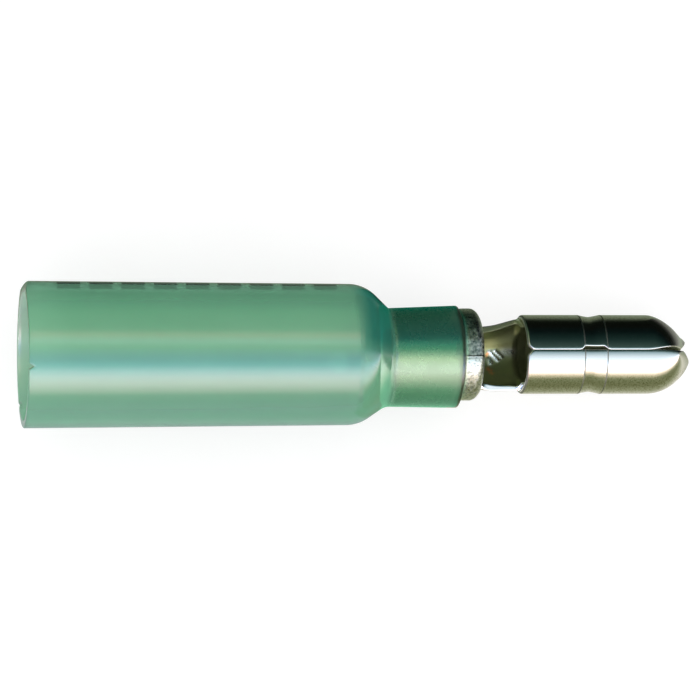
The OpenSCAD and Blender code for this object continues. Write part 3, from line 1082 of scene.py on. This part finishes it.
make_card("end_cloth", np.stack([plug_points[:, 1], foot], 1), plug_tones, to_plastic=True)

# %% [markdown]
# ## Cloths nearer the sleeve
# The sleeve's coat mirrors too, but softer and in other tones than the plug. One cloth for both would spoil
# one of them, so the tube, its shoulder and its neck have cloths of their own, set inside the large one,
# and a plain card closes the tube's at the mouth.

# %% Cloths round the tube and its shoulder
TUBE_CLOTH_R = 14.0
TUBE_CLOTH = (-30.0, 19.5)
SHOULDER_CLOTH = (19.5, 22.5)
TUBE_SHARE = 0.26
TUBE_TONES = [
    (-112, 0.4, 0.4, 0.48), (-95, 0.5, 0.4, 0.55), (-80, 0.42, 0.36, 0.44), (-68, 0.60, 0.55, 0.50),
    (-57, 2.0, 1.4, 1.5), (-46, 3.0, 2.25, 2.5), (-36, 2.95, 2.4, 3.0), (-27, 1.9, 2.0, 2.75),
    (-17, 0.55, 0.95, 1.65), (-7, 0.3, 0.35, 1.0), (2, 0.44, 0.55, 0.8), (12, 0.6, 0.8, 0.57),
    (21, 1.0, 1.15, 1.05), (31, 1.15, 0.8, 0.6), (41, 0.38, 0.47, 0.28), (52, 0.27, 0.42, 0.22),
    (62, 0.25, 0.45, 0.22), (74, 0.17, 0.42, 0.18), (86, 0.06, 0.15, 0.08), (112, 0.01, 0.04, 0.02)]
SHOULDER_TONES = [
    (-112, 0.3, 0.3, 0.3), (-80, 0.3, 0.2, 0.28), (-57, 1.6, 1.1, 1.2), (-36, 2.7, 2.4, 2.9),
    (-17, 0.9, 1.2, 1.8), (-7, 0.55, 0.65, 1.05), (2, 0.4, 0.52, 0.7), (12, 0.3, 0.4, 0.3),
    (21, 0.5, 0.65, 0.55), (31, 0.5, 0.45, 0.33), (41, 0.18, 0.22, 0.14), (62, 0.12, 0.2, 0.1),
    (86, 0.03, 0.07, 0.04), (112, 0.01, 0.02, 0.01)]
for name, tones, ends in (
        ("tube_cloth", TUBE_TONES, TUBE_CLOTH), ("shoulder_cloth", SHOULDER_TONES, SHOULDER_CLOTH)):
    make_card(name, *standing_rows(tones, TUBE_CLOTH_R, ends, 200, TUBE_SHARE), to_plastic=True)

# %% Card before the mouth
MOUTH_CLOTH = (-3.0, 14.0)
MOUTH_TONE = (0.30, 0.45, 0.36)
MOUTH_FLOOR = [(1.9, *MOUTH_TONE), (-2, *MOUTH_TONE)]
cloth_end = MOUTH + AXIS * TUBE_CLOTH[0] * MM
mouth_points = [
    [cloth_end + MM * (SIDE * side + UP * up) for up in MOUTH_CLOTH]
    for side in (-TUBE_CLOTH_R, TUBE_CLOTH_R)]
make_card("mouth_floor", *level_rows(MOUTH_FLOOR, (rear, 0.0)))
make_card("mouth_cloth", mouth_points, np.array([MOUTH_TONE, MOUTH_TONE]))

# %% Cloth round the neck
NECK_CLOTH = (18.4, 21.8)
NECK_CLOTH_R = 3.2
NECK_CLOTH_SHARE = 0.78
NECK_TONES = [
    (-112, 0.25, 0.70, 0.42), (-95, 0.3, 0.85, 0.48), (-79, 0.6, 1.2, 0.75), (-64, 1.5, 1.9, 1.4),
    (-50, 2.4, 2.6, 2.1), (-37, 2.9, 3.1, 2.8), (-24, 2.5, 2.8, 2.4), (-11, 2.0, 2.4, 1.75),
    (0, 0.95, 1.5, 1.1), (14, 0.2, 0.85, 0.55), (26, 0.12, 0.7, 0.52), (39, 0.0, 0.3, 0.26),
    (50, 0.0, 0.22, 0.19), (62, 0.0, 0.2, 0.16), (112, 0.0, 0.14, 0.08)]
neck_rows = standing_rows(NECK_TONES, NECK_CLOTH_R, NECK_CLOTH, 100, NECK_CLOTH_SHARE)
make_card("neck_cloth", *neck_rows, to_plastic=True)

# %% [markdown]
# ## Cards on the floor
# The lower flanks mirror the paper next to the connector, which in a real studio lies in its shadow on one
# side and in the light of the panel on the other. White paper would give both flanks a glaring edge, so
# level cards stand in for it, lightest next to the connector. A last card shades the paper under the film.

# %% Floor beside the plug, the neck and the tube
NECK_FLOOR = (18.3, 21.5)
NOSE_SIDE_AT = 33.2
NOSE_FLOOR_AT = 34.2
PLUG_FRONT_FLOOR = [(1.9, 0.34, 0.40, 0.32), (0.2, 0.30, 0.33, 0.25), (-2, 0.75, 0.75, 0.66)]
PLUG_UPPER_FLOOR = [
    (60, 0.003, 0.004, 0.003), (13, 0.004, 0.006, 0.004), (8.6, 0.03, 0.04, 0.028),
    (4, 0.2, 0.24, 0.17), (1.9, 0.34, 0.40, 0.32)]
NOSE_UPPER_FLOOR = [
    (60, 0.003, 0.004, 0.003), (9, 0.004, 0.006, 0.004), (5.5, 0.03, 0.032, 0.03),
    (3, 0.21, 0.22, 0.2), (1.9, 0.36, 0.38, 0.35)]
PLUG_LOWER_FLOOR = [
    (-60, 0.19, 0.22, 0.115), (-8, 0.18, 0.20, 0.10), (-4, 0.33, 0.36, 0.23), (-2, 0.75, 0.75, 0.66)]
NECK_UPPER_FLOOR = [(60, 0.0, 0.05, 0.03), (1.9, 0.0, 0.05, 0.03)]
NECK_LOWER_FLOOR = [
    (-60, 0.19, 0.22, 0.115), (-3.4, 0.19, 0.3, 0.2), (-3.1, 0.22, 0.65, 0.38),
    (-2, 0.22, 0.65, 0.38)]
TUBE_LOWER_FLOOR = [(-20, 0.4, 0.4, 0.48), (-4, 0.35, 0.45, 0.42), (-2, 0.45, 0.5, 0.48)]
floor_cards = [
    ("nose_floor", PLUG_FRONT_FLOOR, (NOSE_FLOOR_AT, front)),
    ("plug_upper_floor", PLUG_UPPER_FLOOR, (NECK_FLOOR[1], NOSE_SIDE_AT)),
    ("nose_upper_floor", NOSE_UPPER_FLOOR, (NOSE_SIDE_AT, front)),
    ("plug_lower_floor", PLUG_LOWER_FLOOR, (NECK_FLOOR[1], front)),
    ("neck_upper_floor", NECK_UPPER_FLOOR, NECK_FLOOR),
    ("neck_lower_floor", NECK_LOWER_FLOOR, NECK_FLOOR),
    ("tube_upper_floor", PLUG_UPPER_FLOOR, (rear, NECK_FLOOR[0])),
    ("tube_lower_floor", TUBE_LOWER_FLOOR, (rear, NECK_FLOOR[0]))]
for name, tones, ends in floor_cards:
    make_card(name, *level_rows(tones, ends))

# %% Shaded paper under the film
SHADE_ENDS = (-1.0, 19.0)
SHADE_BANDS = [
    (-4.2, 1.0, 1.0, 1.0), (-2.0, 0.92, 0.92, 0.92), (0.5, 0.92, 0.92, 0.92), (1.6, 0.86, 0.88, 0.88),
    (2.6, 0.72, 0.76, 0.78), (3.4, 0.62, 0.68, 0.72), (4.2, 0.75, 0.80, 0.82)]
shade = level_rows(SHADE_BANDS, SHADE_ENDS, TENT_LIFT / 10)
make_card("shaded_paper", *shade, to_metal=False, to_plastic=True)

# %% [markdown]
# ## Colour and the end
# The picture uses Blender's plain Standard view, so a colour comes out as it is written.
# The looks must stay inside the packed model's box.

# %% Set the colour view
bpy.context.scene.view_settings.view_transform = "Standard"
